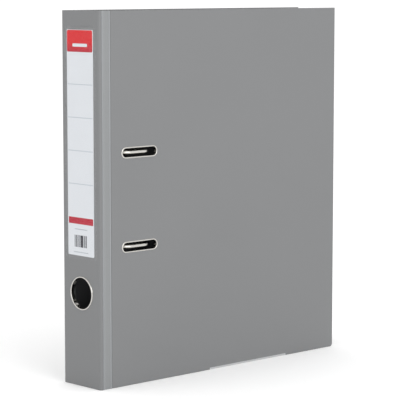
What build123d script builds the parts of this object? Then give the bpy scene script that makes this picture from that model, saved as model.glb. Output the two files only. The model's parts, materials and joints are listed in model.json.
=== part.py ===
"""Narrow-spine lever arch file with slotted covers: covers, spine, creases and the arch mechanism.

Frame: +Z up as the file stands on its bottom edges, origin at the centre of its footprint.
X runs from the spine (-X) to the opening edge (+X); Y runs from the front cover (-Y) to the rear (+Y).
Shapes are first placed by three readings: u, the depth from the spine side; w, the depth through the
thickness from the front side; and lift, the height above the rear cover's inner face.
"""

import os

from build123d import *

# ---- driving dimensions, mm -------------------------------------------------------------------
FILE_HEIGHT = 318.0
FILE_DEPTH = 286.0
FILE_THICKNESS = 50.0

FOIL = 0.3
BOARD = 1.9
LINING = 0.2
PANEL = FOIL + BOARD + LINING
TURN_IN = 12.0
BOTTOM_CORNER_RADIUS = 3.0
SPINE_CORNER_RADIUS = 2.2
SPINE_INNER_RADIUS = 0.3
SPINE_LINING_MARGIN = 1.0

FACE_PROUD = 0.5
RING_PROUD = 0.8
FACE_ROUND = 0.4
RING_ROUND = 0.6
OVERCUT = 1.0

# creases, measured from the spine's outer face
CORNER_CREASE = 3.9
COVER_CREASE = 11.5
CREASE_RADIUS = 0.8
CREASE_GAP = 0.3
HINGE_FOIL = 0.3
HINGE_BOARD = 1.2

RING_OUTER_RADIUS = 14.5
RING_BORE_RADIUS = 13.25
RING_WALL = 0.5
RING_HEIGHT = 80.0
RING_BACK = 0.5

LABEL_WIDTH = 34.0
LABEL_BOTTOM = 112.0
LABEL_TOP_MARGIN = 16.0
LABEL_PAPER = 0.2
POCKET_FILM = 0.15
POCKET_MARGIN = 3.0

HOLE_SPACING = 80.0
SLOT_SPINE_MARGIN = 3.6
SLOT_FREE_END = 5.5
SLOT_SIDE_GAP = 2.2
EYELET_RIM = 1.2
EYELET_WALL = 0.4
EYELET_BACK = 0.4

SHOE_START = 126.0
SHOE_LENGTH = 96.0
SHOE_STEEL = 0.4
SHOE_HEIGHT = 1.8

# mechanism, u from the spine side and lift above the rear cover's inner face
BASE_STEEL = 1.2
BASE_START = 12.0
BASE_BEYOND_POST = 6.7
BASE_BEYOND_ARCH = 13.0
BASE_CORNER = 5.0
WIRE_RADIUS = 1.5
RUNNING_CLEARANCE = 0.05
SHAFT_U = 21.0
SHAFT_LIFT = 5.0
EAR_FROM_CRANK = 3.6
EAR_FROM_ARCH = 7.4
EAR_STEEL = 1.2
EAR_RADIUS = 3.2
POST_U = 58.3
POST_RADIUS = 2.3
POST_TOP = 28.3
POST_SPIGOT_RADIUS = 1.5
DIMPLE_MOUTH = 2.0
DIMPLE_FLOOR = 0.6
TIP_ENTRY = 0.6
TIP_CHAMFER = 0.9
ARCH_SHOULDER_U = 29.5
ARCH_TOP_BELOW_FACE = 0.4
ARCH_REAR_BEND = 10.0
ARCH_FRONT_BEND = 8.0
FOOT_BEND = 3.0
CRANK_U = 31.7
CRANK_LIFT = 7.0
CRANK_BESIDE_LEVER = 3.7
CRANK_BEND = 3.0

LEVER_PIVOT_U = 41.0
PIVOT_BELOW_ROLLER = 2.4
LEVER_PIN_RADIUS = 2.0
LEVER_STEEL = 1.0
LUG_INNER_HALF = 8.2
LUG_STEEL = 1.2
LEVER_SIDE_GAP = 0.4
LUG_RADIUS = 3.6
CHEEK_RADIUS = 3.6
ROLLER_RADIUS = 3.5
ROLLER_GAP = 0.4
ROLLER_PIN_RADIUS = 1.5
ROLLER_END_GAP = 0.8
ROLLER_SEAT_RADIUS = 3.2
PIN_HEAD = 0.8
PIN_HEAD_RIM = 1.0
WEB_GAP = 0.5
WEB_REAR_U = 37.0
GRIP_U = 13.0
CURL_RADIUS = 2.6
WEB_CORNER = 1.5
CHEEK_NOSE_FROM_GRIP = 9.0
CHEEK_NOSE_RADIUS = 1.0

BAR_WIDTH = 14.0
BAR_THICKNESS = 2.0
BAR_BEYOND_ARCH = 12.0
BAR_REST_GAP = 0.5
BAR_HOLE_CLEARANCE = 0.25
BAR_RIB = 1.4
BAR_RIB_CORNER = 1.0
CLIP_STEEL = 0.6
CLIP_SIZE = 11.0
CLIP_TAB = 4.0

RIVET_PLACES_U = (19.5, 44.0)
RIVET_BEYOND_ARCH = 7.0
RIVET_SHANK = 1.8
RIVET_OUTER_HEAD = 4.5
RIVET_INNER_HEAD = 3.5
RIVET_INNER_THICK = 0.8
RIVET_INNER_ROUND = 0.4
RIVET_SHANK_SHORT = 0.1

# ---- positions worked out from the values above ------------------------------------------------
SPINE_FACE = RING_PROUD
FRONT_FACE = FACE_PROUD
REAR_FACE = FILE_THICKNESS - FACE_PROUD
REAR_INNER = REAR_FACE - PANEL
CREASE_U = (SPINE_FACE + CORNER_CREASE, SPINE_FACE + COVER_CREASE)
COVER_START = CREASE_U[1] + CREASE_RADIUS + CREASE_GAP
FLANGE_END = CREASE_U[0] - CREASE_RADIUS - CREASE_GAP
MID_HEIGHT = FILE_HEIGHT / 2
HALF_SPACING = HOLE_SPACING / 2
ARCH_HEIGHTS = (MID_HEIGHT - HALF_SPACING, MID_HEIGHT + HALF_SPACING)
SLOT_START = ARCH_SHOULDER_U - SLOT_SPINE_MARGIN
SLOT_LENGTH = POST_U + SLOT_FREE_END - SLOT_START
SLOT_U = SLOT_START + SLOT_LENGTH / 2
SLOT_WIDTH = 2 * (WIRE_RADIUS + SLOT_SIDE_GAP)
CLEAR_DEPTH = REAR_FACE - FRONT_FACE - PANEL
ARCH_TOP = CLEAR_DEPTH - ARCH_TOP_BELOW_FACE - WIRE_RADIUS
ROLLER_LIFT = CRANK_LIFT + WIRE_RADIUS + ROLLER_GAP + ROLLER_RADIUS
ROLLER_HALF = LUG_INNER_HALF - ROLLER_END_GAP
LEVER_PIVOT_LIFT = ROLLER_LIFT - PIVOT_BELOW_ROLLER
LEVER_INNER_HALF = LUG_INNER_HALF + LUG_STEEL + LEVER_SIDE_GAP
LEVER_HALF = LEVER_INNER_HALF + LEVER_STEEL
CRANK_HALF_SPAN = LEVER_HALF + CRANK_BESIDE_LEVER
SHAFT_EARS = (CRANK_HALF_SPAN + EAR_FROM_CRANK, HALF_SPACING - EAR_FROM_ARCH)
TIP_LIFT = POST_TOP - TIP_ENTRY
WEB_LIFT = ROLLER_LIFT + ROLLER_RADIUS + WEB_GAP


def at(u, w, z):
    """A point in the file's frame from its depths u and w."""
    return (u - FILE_DEPTH / 2, w - FILE_THICKNESS / 2, z)


def above_rear(u, lift, z=0.0):
    """A point given by its lift above the rear cover's inner face."""
    return at(u, REAR_INNER - lift, z)


def block(u, w, z):
    """A box between pairs of u, w and z values."""
    size = (u[1] - u[0], w[1] - w[0], z[1] - z[0])
    middle = at((u[0] + u[1]) / 2, (w[0] + w[1]) / 2, (z[0] + z[1]) / 2)
    return Pos(*middle) * Box(*size)


def upright(radius, u, w, z):
    """A cylinder along Z between two heights."""
    x, y, _ = at(u, w, 0)
    return Pos(x, y, (z[0] + z[1]) / 2) * Cylinder(radius, z[1] - z[0])


def across(radius, u, w, z):
    """A cylinder along Y between two w values."""
    x, y, _ = at(u, (w[0] + w[1]) / 2, 0)
    return Pos(x, y, z) * Rot(90, 0, 0) * Cylinder(radius, w[1] - w[0])


def along_x(radius, u, z):
    """A cylinder along X between two u values, through the middle of the spine."""
    x, y, _ = at((u[0] + u[1]) / 2, FILE_THICKNESS / 2, 0)
    return Pos(x, y, z) * Rot(0, 90, 0) * Cylinder(radius, u[1] - u[0])


def mirror_to_rear(shape):
    """The same shape on the other cover: both sides of the file match."""
    return mirror(shape, about=Plane.XZ)


def cover_slab(w, inset, edge_inset):
    """A slab of the cover between two w values; a layer near the edge follows its rounded corner."""
    u = (COVER_START + inset[0], FILE_DEPTH - inset[1])
    z = (edge_inset, FILE_HEIGHT - edge_inset)
    slab = block(u, w, z)
    if edge_inset >= BOTTOM_CORNER_RADIUS:
        return slab
    corner = slab.edges().filter_by(Axis.Y).sort_by(lambda e: e.center().X - e.center().Z)[-1]
    return fillet(corner, BOTTOM_CORNER_RADIUS - edge_inset)


def shoe():
    """The steel channel let into the cover's bottom edge."""
    start = SPINE_FACE + SHOE_START
    u = (start, start + SHOE_LENGTH)
    outer = block(u, (FRONT_FACE, FRONT_FACE + PANEL), (0, SHOE_HEIGHT))
    core_w = (FRONT_FACE + SHOE_STEEL, FRONT_FACE + PANEL - SHOE_STEEL)
    core = block(u, core_w, (SHOE_STEEL, SHOE_HEIGHT + OVERCUT))
    return outer - core


def cover_layers():
    """Foil tray, board and lining of one cover, at the front, before its holes."""
    foil_w = (FRONT_FACE, FRONT_FACE + PANEL)
    board_w = (FRONT_FACE + FOIL, FRONT_FACE + FOIL + BOARD)
    lining_w = (board_w[1], foil_w[1])
    board = cover_slab(board_w, (0, FOIL), FOIL)
    lining = cover_slab(lining_w, (0, TURN_IN), TURN_IN)
    foil = cover_slab(foil_w, (0, 0), 0) - board - lining
    return {"foil": foil - shoe(), "board": board - shoe(), "lining": lining}


def stadium(length, width, w, z):
    """A slot-shaped prism through the front cover, long way along X."""
    x, y, _ = at(SLOT_U, w[1], 0)
    outline = SlotOverall(length, width)
    return extrude(Plane((x, y, z), x_dir=(1, 0, 0), z_dir=(0, -1, 0)) * outline, w[1] - w[0])


def slot_hole(z):
    """The hole that the eyelet's tube fills in the front cover."""
    w = (FRONT_FACE - OVERCUT, FRONT_FACE + PANEL + OVERCUT)
    return stadium(SLOT_LENGTH + 2 * EYELET_WALL, SLOT_WIDTH + 2 * EYELET_WALL, w, z)


def slot_eyelet(z):
    """The nickelled eyelet: a domed rim outside and a tube through the cover."""
    rim = stadium(SLOT_LENGTH + 2 * EYELET_RIM, SLOT_WIDTH + 2 * EYELET_RIM, (0, FRONT_FACE), z)
    outer_edges = rim.faces().sort_by(Axis.Y)[0].outer_wire().edges()
    rim = fillet(outer_edges, FACE_ROUND)
    tube_w = (0, FRONT_FACE + PANEL + EYELET_BACK)
    tube = stadium(SLOT_LENGTH + 2 * EYELET_WALL, SLOT_WIDTH + 2 * EYELET_WALL, tube_w, z)
    bore = stadium(SLOT_LENGTH, SLOT_WIDTH, (-OVERCUT, tube_w[1] + OVERCUT), z)
    return rim + tube - bore


def slot_washer(z):
    """The backing washer that the tube is turned over, on the inner face."""
    w = (FRONT_FACE + PANEL, FRONT_FACE + PANEL + EYELET_BACK)
    plate = stadium(SLOT_LENGTH + 2 * EYELET_RIM, SLOT_WIDTH + 2 * EYELET_RIM, w, z)
    return plate - slot_hole(z)


def hinge_foil():
    """The flexible strip beside the spine with a rounded crease along each side."""
    axis_w = FRONT_FACE + CREASE_RADIUS
    sheet_w = (FRONT_FACE + FOIL, FRONT_FACE + FOIL + HINGE_FOIL)
    height = (0, FILE_HEIGHT)
    strip = block(CREASE_U, sheet_w, height)
    for crease_u in CREASE_U:
        strip += upright(CREASE_RADIUS, crease_u, axis_w, height)
    return strip


def hinge_board():
    """The narrow board glued behind the strip, between its creases."""
    room = CREASE_RADIUS + CREASE_GAP
    start = FRONT_FACE + FOIL + HINGE_FOIL
    u = (CREASE_U[0] + room, CREASE_U[1] - room)
    return block(u, (start, start + HINGE_BOARD), (FOIL, FILE_HEIGHT - FOIL))


def spine_shell(inset, thickness, end_inset):
    """A channel that follows the spine and turns both corners, inset from its outer face."""
    radius = SPINE_CORNER_RADIUS - inset
    outer_u = (SPINE_FACE + inset, FLANGE_END)
    outer_w = (FRONT_FACE + inset, REAR_FACE - inset)
    height = (end_inset, FILE_HEIGHT - end_inset)
    outer = block(outer_u, outer_w, height)
    outer = fillet(outer.edges().filter_by(Axis.Z).group_by(Axis.X)[0], radius)
    inner_u = (outer_u[0] + thickness, FLANGE_END + OVERCUT)
    inner_w = (outer_w[0] + thickness, outer_w[1] - thickness)
    inner = block(inner_u, inner_w, (height[0] - OVERCUT, height[1] + OVERCUT))
    inner_radius = max(radius - thickness, SPINE_INNER_RADIUS)
    inner = fillet(inner.edges().filter_by(Axis.Z).group_by(Axis.X)[0], inner_radius)
    return outer - inner


def spine_parts():
    """Foil, board and lining of the spine, with the finger hole through them."""
    through = (-OVERCUT, SPINE_FACE + PANEL + OVERCUT)
    hole = along_x(RING_BORE_RADIUS + RING_WALL, through, RING_HEIGHT)
    skin = spine_shell(0, FOIL, 0)
    board = spine_shell(FOIL, BOARD, FOIL)
    side = PANEL + SPINE_LINING_MARGIN
    lining_u = (SPINE_FACE + FOIL + BOARD, SPINE_FACE + PANEL)
    lining_w = (FRONT_FACE + side, REAR_FACE - side)
    lining = block(lining_u, lining_w, (TURN_IN, FILE_HEIGHT - TURN_IN))
    caps = spine_shell(FOIL, BOARD, 0) - board
    return {"spine_foil": skin + caps - hole, "spine_board": board - hole, "spine_lining": lining - hole}


def finger_ring():
    """The nickelled finger ring: a domed flange outside and a tube through the spine."""
    flange = along_x(RING_OUTER_RADIUS, (0, SPINE_FACE), RING_HEIGHT)
    flange = fillet(flange.faces().sort_by(Axis.X)[0].edges(), RING_ROUND)
    end = SPINE_FACE + PANEL + RING_BACK
    tube = along_x(RING_BORE_RADIUS + RING_WALL, (0, end), RING_HEIGHT)
    bore = along_x(RING_BORE_RADIUS, (-OVERCUT, end + OVERCUT), RING_HEIGHT)
    return flange + tube - bore


def ring_washer():
    """The washer that the ring's tube is turned over, inside the spine."""
    u = (SPINE_FACE + PANEL, SPINE_FACE + PANEL + RING_BACK)
    plate = along_x(RING_OUTER_RADIUS, u, RING_HEIGHT)
    through = (u[0] - OVERCUT, u[1] + OVERCUT)
    return plate - along_x(RING_BORE_RADIUS + RING_WALL, through, RING_HEIGHT)


def label_parts():
    """The paper label and the clear film pocket that holds it on the spine."""
    middle = FILE_THICKNESS / 2
    paper_u = (SPINE_FACE - LABEL_PAPER, SPINE_FACE)
    w = (middle - LABEL_WIDTH / 2, middle + LABEL_WIDTH / 2)
    z = (LABEL_BOTTOM, FILE_HEIGHT - LABEL_TOP_MARGIN)
    paper = block(paper_u, w, z)
    film_w = (w[0] - POCKET_MARGIN, w[1] + POCKET_MARGIN)
    film_z = (z[0] - POCKET_MARGIN, z[1] + POCKET_MARGIN)
    film = block((paper_u[0] - POCKET_FILM, SPINE_FACE), film_w, film_z) - paper
    return {"spine_label": paper, "label_pocket": film}


def ear(u, lift, radius, z_start, steel):
    """A tab that stands up from the base plate and is rounded over its bore."""
    w_top = REAR_INNER - lift
    z = (z_start, z_start + steel)
    post = block((u - radius, u + radius), (w_top, REAR_INNER - BASE_STEEL / 2), z)
    return post + upright(radius, u, w_top, z)


def mirrored_z(offset, size):
    """The two starting heights of a pair of pieces, above and below the middle."""
    return (MID_HEIGHT + offset, MID_HEIGHT - offset - size)


def base_plate():
    """The steel base: a flat plate with four shaft ears and two lever lugs."""
    half = HALF_SPACING + BASE_BEYOND_ARCH
    z = (MID_HEIGHT - half, MID_HEIGHT + half)
    plate = block((BASE_START, POST_U + BASE_BEYOND_POST), (REAR_INNER - BASE_STEEL, REAR_INNER), z)
    plate = fillet(plate.edges().filter_by(Axis.Y), BASE_CORNER)
    shaft_w = REAR_INNER - SHAFT_LIFT
    lever_w = REAR_INNER - LEVER_PIVOT_LIFT
    for offset in SHAFT_EARS:
        for start in mirrored_z(offset, EAR_STEEL):
            plate += ear(SHAFT_U, SHAFT_LIFT, EAR_RADIUS, start, EAR_STEEL)
    for start in mirrored_z(LUG_INNER_HALF, LUG_STEEL):
        plate += ear(LEVER_PIVOT_U, LEVER_PIVOT_LIFT, LUG_RADIUS, start, LUG_STEEL)
    plate -= upright(WIRE_RADIUS + RUNNING_CLEARANCE, SHAFT_U, shaft_w, z)
    plate -= upright(LEVER_PIN_RADIUS, LEVER_PIVOT_U, lever_w, z)
    through = (REAR_INNER - BASE_STEEL - OVERCUT, REAR_INNER + OVERCUT)
    for height in ARCH_HEIGHTS:
        plate -= across(POST_SPIGOT_RADIUS, POST_U, through, height)
    for rivet_u, height in rivet_places():
        plate -= across(RIVET_SHANK, rivet_u, through, height)
    return plate


def rivet_places():
    """The four rivets that hold the base plate to the rear cover."""
    spread = HALF_SPACING + RIVET_BEYOND_ARCH
    heights = (MID_HEIGHT - spread, MID_HEIGHT + spread)
    return [(u, height) for u in RIVET_PLACES_U for height in heights]


def rivet_holes():
    """The rivet shanks' holes through the rear cover."""
    w = (REAR_INNER - OVERCUT, REAR_FACE + OVERCUT)
    holes = [across(RIVET_SHANK, u, w, height) for u, height in rivet_places()]
    return Compound(children=holes)


def rivet(u, height):
    """One rivet: a domed head outside, a shank, and a turned-over head on the base plate."""
    inner_face = REAR_INNER - BASE_STEEL
    head = across(RIVET_OUTER_HEAD, u, (REAR_FACE, FILE_THICKNESS), height)
    head = fillet(head.faces().sort_by(Axis.Y)[-1].edges(), FACE_ROUND)
    shank_w = (inner_face - RIVET_INNER_THICK, FILE_THICKNESS - RIVET_SHANK_SHORT)
    shank = across(RIVET_SHANK, u, shank_w, height)
    inner = across(RIVET_INNER_HEAD, u, (inner_face - RIVET_INNER_THICK, inner_face), height)
    inner = fillet(inner.faces().sort_by(Axis.Y)[0].edges(), RIVET_INNER_ROUND)
    return head + inner + shank


def post(height):
    """A fixed post with a spigot in the base plate and a dimple for the arch's tip."""
    foot = REAR_INNER - BASE_STEEL
    top = REAR_INNER - POST_TOP
    body = across(POST_RADIUS, POST_U, (top, foot), height)
    body += across(POST_SPIGOT_RADIUS, POST_U, (foot - OVERCUT, REAR_INNER), height)
    depth = DIMPLE_MOUTH - DIMPLE_FLOOR
    x, y, _ = at(POST_U, top + depth / 2, 0)
    dimple = Pos(x, y, height) * Rot(90, 0, 0) * Cone(DIMPLE_FLOOR, DIMPLE_MOUTH, depth)
    return body - dimple


def arch_side(sign):
    """One arch and half of the crank, from the tip to the middle, as (u, lift, z) points."""
    arch_z = MID_HEIGHT + sign * HALF_SPACING
    crank_z = MID_HEIGHT + sign * CRANK_HALF_SPAN
    return [
        (POST_U, TIP_LIFT, arch_z),
        (POST_U, ARCH_TOP, arch_z),
        (ARCH_SHOULDER_U, ARCH_TOP, arch_z),
        (SHAFT_U, SHAFT_LIFT, arch_z),
        (SHAFT_U, SHAFT_LIFT, crank_z),
        (CRANK_U, CRANK_LIFT, crank_z),
    ]


def arch_wire():
    """Both arches, the shaft and the crank, bent from one round wire with pointed tips."""
    route = arch_side(-1) + arch_side(1)[::-1]
    points = [above_rear(u, lift, z) for u, lift, z in route]
    bends = [ARCH_FRONT_BEND, ARCH_REAR_BEND, FOOT_BEND, CRANK_BEND, CRANK_BEND]
    path = FilletPolyline(*points, radius=bends + bends[::-1])
    section = Plane(points[0], z_dir=path % 0) * Circle(WIRE_RADIUS)
    wire = sweep(section, path=path)
    flat_ends = wire.faces().filter_by(GeomType.PLANE).sort_by(Axis.Y)[-2:]
    tips = [edge for face in flat_ends for edge in face.edges()]
    return chamfer(tips, TIP_CHAMFER)


def lever_cheek(z_start):
    """One side of the lever: a web-shaped plate round the pivot and the roller's pin."""
    plane = Plane(origin=(0, 0, z_start), x_dir=(1, 0, 0), z_dir=(0, 0, 1))
    pivot = above_rear(LEVER_PIVOT_U, LEVER_PIVOT_LIFT)
    seat = above_rear(CRANK_U, ROLLER_LIFT)
    nose = above_rear(GRIP_U + CHEEK_NOSE_FROM_GRIP, WEB_LIFT - CHEEK_NOSE_RADIUS)
    shoulder = above_rear(WEB_REAR_U, WEB_LIFT - CHEEK_NOSE_RADIUS)
    circles = [
        Pos(*pivot) * Circle(CHEEK_RADIUS),
        Pos(*seat) * Circle(ROLLER_SEAT_RADIUS),
        Pos(*nose) * Circle(CHEEK_NOSE_RADIUS),
        Pos(*shoulder) * Circle(CHEEK_NOSE_RADIUS),
    ]
    outline = make_hull([edge for circle in circles for edge in circle.edges()])
    return extrude(plane * outline, LEVER_STEEL)


def lever():
    """The operating lever: two cheeks under a flat web that ends in a curled grip."""
    z = (MID_HEIGHT - LEVER_HALF, MID_HEIGHT + LEVER_HALF)
    web_w = (REAR_INNER - WEB_LIFT - LEVER_STEEL, REAR_INNER - WEB_LIFT)
    shape = block((GRIP_U, WEB_REAR_U), web_w, z)
    shape = fillet(shape.edges().filter_by(Axis.Y), WEB_CORNER)
    for start in mirrored_z(LEVER_INNER_HALF, LEVER_STEEL):
        shape += lever_cheek(start)
    curl_w = web_w[0] + CURL_RADIUS
    grip_z = (z[0] + WEB_CORNER, z[1] - WEB_CORNER)
    curl = upright(CURL_RADIUS, GRIP_U, curl_w, grip_z)
    curl -= upright(CURL_RADIUS - LEVER_STEEL, GRIP_U, curl_w, z)
    curl -= block((GRIP_U, GRIP_U + 2 * CURL_RADIUS), (web_w[1], REAR_INNER), z)
    shape += curl
    bore = LEVER_PIN_RADIUS + RUNNING_CLEARANCE
    shape -= upright(bore, LEVER_PIVOT_U, REAR_INNER - LEVER_PIVOT_LIFT, z)
    shape -= upright(ROLLER_PIN_RADIUS, CRANK_U, REAR_INNER - ROLLER_LIFT, z)
    return shape


def headed_pin(radius, u, lift, half):
    """A plain pin with a low head at each end, across the lever."""
    w = REAR_INNER - lift
    pin = upright(radius, u, w, (MID_HEIGHT - half, MID_HEIGHT + half))
    for z in ((half - PIN_HEAD, half), (-half, -half + PIN_HEAD)):
        pin += upright(radius + PIN_HEAD_RIM, u, w, (MID_HEIGHT + z[0], MID_HEIGHT + z[1]))
    return pin


def lever_pin():
    """The fixed pin through the base plate's lugs that the lever turns on."""
    half = LEVER_HALF + ROLLER_GAP + PIN_HEAD
    return headed_pin(LEVER_PIN_RADIUS, LEVER_PIVOT_U, LEVER_PIVOT_LIFT, half)


def roller_pin():
    """The roller's own pin, riveted into the lever's cheeks."""
    half = LEVER_HALF + PIN_HEAD
    return headed_pin(ROLLER_PIN_RADIUS, CRANK_U, ROLLER_LIFT, half)


def roller():
    """The roller that presses the crank down as the lever closes."""
    w = REAR_INNER - ROLLER_LIFT
    z = (MID_HEIGHT - ROLLER_HALF, MID_HEIGHT + ROLLER_HALF)
    body = upright(ROLLER_RADIUS, CRANK_U, w, z)
    return body - upright(ROLLER_PIN_RADIUS + RUNNING_CLEARANCE, CRANK_U, w, z)


def bar_levels():
    """The compressor bar's lower and upper faces at rest, as w values."""
    low = REAR_INNER - BASE_STEEL - BAR_REST_GAP
    return (low - BAR_THICKNESS, low)


def compressor_bar():
    """The sliding bar that presses the sheets down on the posts."""
    top, low = bar_levels()
    bar_half = HALF_SPACING + BAR_BEYOND_ARCH
    z = (MID_HEIGHT - bar_half, MID_HEIGHT + bar_half)
    side = BAR_WIDTH / 2
    bar = block((POST_U - side, POST_U + side), (top, low), z)
    bar = fillet(bar.edges().filter_by(Axis.Y), BASE_CORNER)
    half = HALF_SPACING - CLIP_SIZE
    rib_z = (MID_HEIGHT - half, MID_HEIGHT + half)
    rib = block((POST_U - side / 2, POST_U + side / 2), (top - BAR_RIB, top), rib_z)
    bar += fillet(rib.edges().filter_by(Axis.Y), BAR_RIB_CORNER)
    for height in ARCH_HEIGHTS:
        bar -= across(POST_RADIUS + BAR_HOLE_CLEARANCE, POST_U, (top - OVERCUT, low + OVERCUT), height)
    return bar


def compressor_clip(height):
    """A spring clip on the bar that grips one post, with a tab to pinch."""
    top, _ = bar_levels()
    half = CLIP_SIZE / 2
    z = (height - half, height + half)
    u = (POST_U - half, POST_U + half)
    plate = block(u, (top - CLIP_STEEL, top), z)
    tab = block((u[1] - CLIP_STEEL, u[1]), (top - CLIP_TAB, top), z)
    hole = across(POST_RADIUS + RUNNING_CLEARANCE, POST_U, (top - CLIP_TAB, top + OVERCUT), height)
    return plate + tab - hole


def all_nodes():
    """Every node of the file by name."""
    nodes = {}
    for name, layer in cover_layers().items():
        nodes["rear_cover_" + name] = mirror_to_rear(layer) - rivet_holes()
        front = layer
        for height in ARCH_HEIGHTS:
            front -= slot_hole(height)
        nodes["front_cover_" + name] = front
    nodes["front_edge_shoe"] = shoe()
    nodes["rear_edge_shoe"] = mirror_to_rear(shoe())
    nodes["front_hinge_foil"] = hinge_foil()
    nodes["front_hinge_board"] = hinge_board()
    nodes["rear_hinge_foil"] = mirror_to_rear(hinge_foil())
    nodes["rear_hinge_board"] = mirror_to_rear(hinge_board())
    nodes.update(spine_parts())
    nodes["finger_ring"] = finger_ring()
    nodes["finger_ring_washer"] = ring_washer()
    nodes.update(label_parts())
    for side, height in zip(("lower", "upper"), ARCH_HEIGHTS):
        nodes[side + "_slot_eyelet"] = slot_eyelet(height)
        nodes[side + "_slot_washer"] = slot_washer(height)
        nodes[side + "_post"] = post(height)
    nodes["base_plate"] = base_plate()
    nodes["base_rivets"] = Compound(children=[rivet(u, height) for u, height in rivet_places()])
    nodes["arch_wire"] = arch_wire()
    nodes["lever"] = lever()
    nodes["lever_pin"] = lever_pin()
    nodes["lever_roller"] = roller()
    nodes["roller_pin"] = roller_pin()
    nodes["compressor_bar"] = compressor_bar()
    clips = [compressor_clip(height) for height in ARCH_HEIGHTS]
    nodes["compressor_clips"] = Compound(children=clips)
    return nodes


os.makedirs("parts", exist_ok=True)
for node, shape in all_nodes().items():
    export_step(shape, "parts/" + node + ".step")
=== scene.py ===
"""Lever arch file: foil-covered boards, hinge strips, finger ring, slots, spine label and arch mechanism.

Metres, Z up. The spine is at -X, the front cover at -Y and the rear cover at +Y.
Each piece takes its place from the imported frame's own pieces.
"""

import json
import math

import bmesh
import bpy
from mathutils import Matrix, Vector, geometry


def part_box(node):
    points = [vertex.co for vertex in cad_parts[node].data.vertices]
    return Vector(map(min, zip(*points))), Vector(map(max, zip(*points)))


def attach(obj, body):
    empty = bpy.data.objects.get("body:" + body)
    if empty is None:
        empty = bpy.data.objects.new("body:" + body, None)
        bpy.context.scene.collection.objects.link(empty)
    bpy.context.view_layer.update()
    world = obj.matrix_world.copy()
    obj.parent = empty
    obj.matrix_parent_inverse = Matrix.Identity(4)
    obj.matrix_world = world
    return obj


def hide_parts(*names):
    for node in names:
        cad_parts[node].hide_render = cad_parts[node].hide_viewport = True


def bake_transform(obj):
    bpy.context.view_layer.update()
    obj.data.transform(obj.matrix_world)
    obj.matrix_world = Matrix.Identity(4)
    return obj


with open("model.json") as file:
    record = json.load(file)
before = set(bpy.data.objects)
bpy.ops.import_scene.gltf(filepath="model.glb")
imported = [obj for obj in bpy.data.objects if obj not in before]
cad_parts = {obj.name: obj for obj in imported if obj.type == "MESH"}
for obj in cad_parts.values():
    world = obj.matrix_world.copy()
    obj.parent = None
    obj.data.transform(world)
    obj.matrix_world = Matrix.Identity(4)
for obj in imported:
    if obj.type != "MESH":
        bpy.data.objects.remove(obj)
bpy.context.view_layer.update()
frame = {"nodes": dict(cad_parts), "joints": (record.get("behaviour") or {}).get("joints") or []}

bl_info = {
    "name": "Lever Arch File",
    "version": (1, 0, 0),
    "blender": (4, 5, 0),
    "location": "3D View > Sidebar > Lever Arch File",
    "description": "Builds a slotted lever arch file round its packed frame",
    "category": "Add Mesh",
}

MM = 0.001
WELD = 0.002 * MM

# sizes that the frame's boxes don't give, in millimetres
RING_RIM = 1.25
RING_WALL = 0.5
EYELET_RIM = 1.2
EYELET_WALL = 0.4
SLOT_SPINE_MARGIN = 3.6
STRIP_FOIL = 0.3
STRIP_GAP = 0.72
STRIP_EDGE = 0.6
STRIP_DIP = 0.08
LIP_PLACE = 0.31
LIP_REACH = 0.41
POCKET_WELD = 0.9
POCKET_SLOPE = 0.5
POCKET_BACK = 1.3
SHOE_STEEL = 0.4
BASE_STEEL = 1.2
LEVER_STEEL = 1.0
CLIP_STEEL = 0.6
BAR_THICKNESS = 2.0
CORNER_ROUND = 5.0
EAR_FROM_CRANK = 3.6
EAR_FROM_POST = 7.4
LUG_FROM_MIDDLE = 8.2
BAR_HOLE_RADIUS = 2.55
CLIP_HOLE_RADIUS = 2.35
CRANK_SIDE_GAP = 3.7
CRANK_ROLLER_GAP = 3.9
ARCH_TIP_GAP = 0.3
WIRE_BENDS = (8, 10, 3, 3, 3)
CHEEK_INSET = 1.5
GRIP_CURL = 2.6
NOSE_FROM_GRIP = 9.0
REAR_FROM_PIVOT = 4.0
PIVOT_EYE = 3.6
ROLLER_EYE = 3.2
SHAFT_EYE = 3.2
RIVET_RADIUS = 4.5
SPIGOT_LENGTH = 1.2

X_AXIS = Vector((1, 0, 0))
Y_AXIS = Vector((0, 1, 0))
Z_AXIS = Vector((0, 0, 1))
JOINTS = {joint["name"]: joint for joint in frame["joints"]}


# ---- places taken from the frame ----


def low_high(*nodes):
    """The box that holds all the named nodes."""
    boxes = [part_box(node) for node in nodes]
    low = Vector([min(box[0][i] for box in boxes) for i in range(3)])
    high = Vector([max(box[1][i] for box in boxes) for i in range(3)])
    return low, high


def box_middle(node):
    """The middle of a node's box."""
    low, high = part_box(node)
    return (low + high) / 2


# ---- modelling steps ----


def only(piece):
    """Selects one piece alone and makes it active."""
    bpy.ops.object.select_all(action="DESELECT")
    bpy.context.view_layer.objects.active = piece
    piece.select_set(True)


def to_edit(piece):
    """Enters edit mode on one piece alone."""
    only(piece)
    bpy.ops.object.mode_set(mode="EDIT")


def to_object():
    """Leaves edit mode."""
    bpy.ops.object.mode_set(mode="OBJECT")


def select_whole():
    """Selects all of the piece in edit mode."""
    bpy.ops.mesh.select_all(action="SELECT")


def weld():
    """Merges the doubled corners of the whole piece in edit mode."""
    select_whole()
    bpy.ops.mesh.remove_doubles(threshold=WELD)


def settle(piece, name):
    """Names a new primitive and moves its place and size into its mesh."""
    piece.name = name
    piece.data.name = name
    only(piece)
    bpy.ops.object.transform_apply(location=True, rotation=True, scale=True)
    return piece


def block(name, low, high):
    """A block between two corners, to be shaped further."""
    low, high = Vector(low), Vector(high)
    bpy.ops.mesh.primitive_cube_add(size=1, location=(low + high) / 2)
    piece = bpy.context.object
    piece.scale = high - low
    return settle(piece, name)


def middle(part):
    """The middle of an edge or face."""
    return sum((vert.co for vert in part.verts), Vector()) / len(part.verts)


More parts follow.
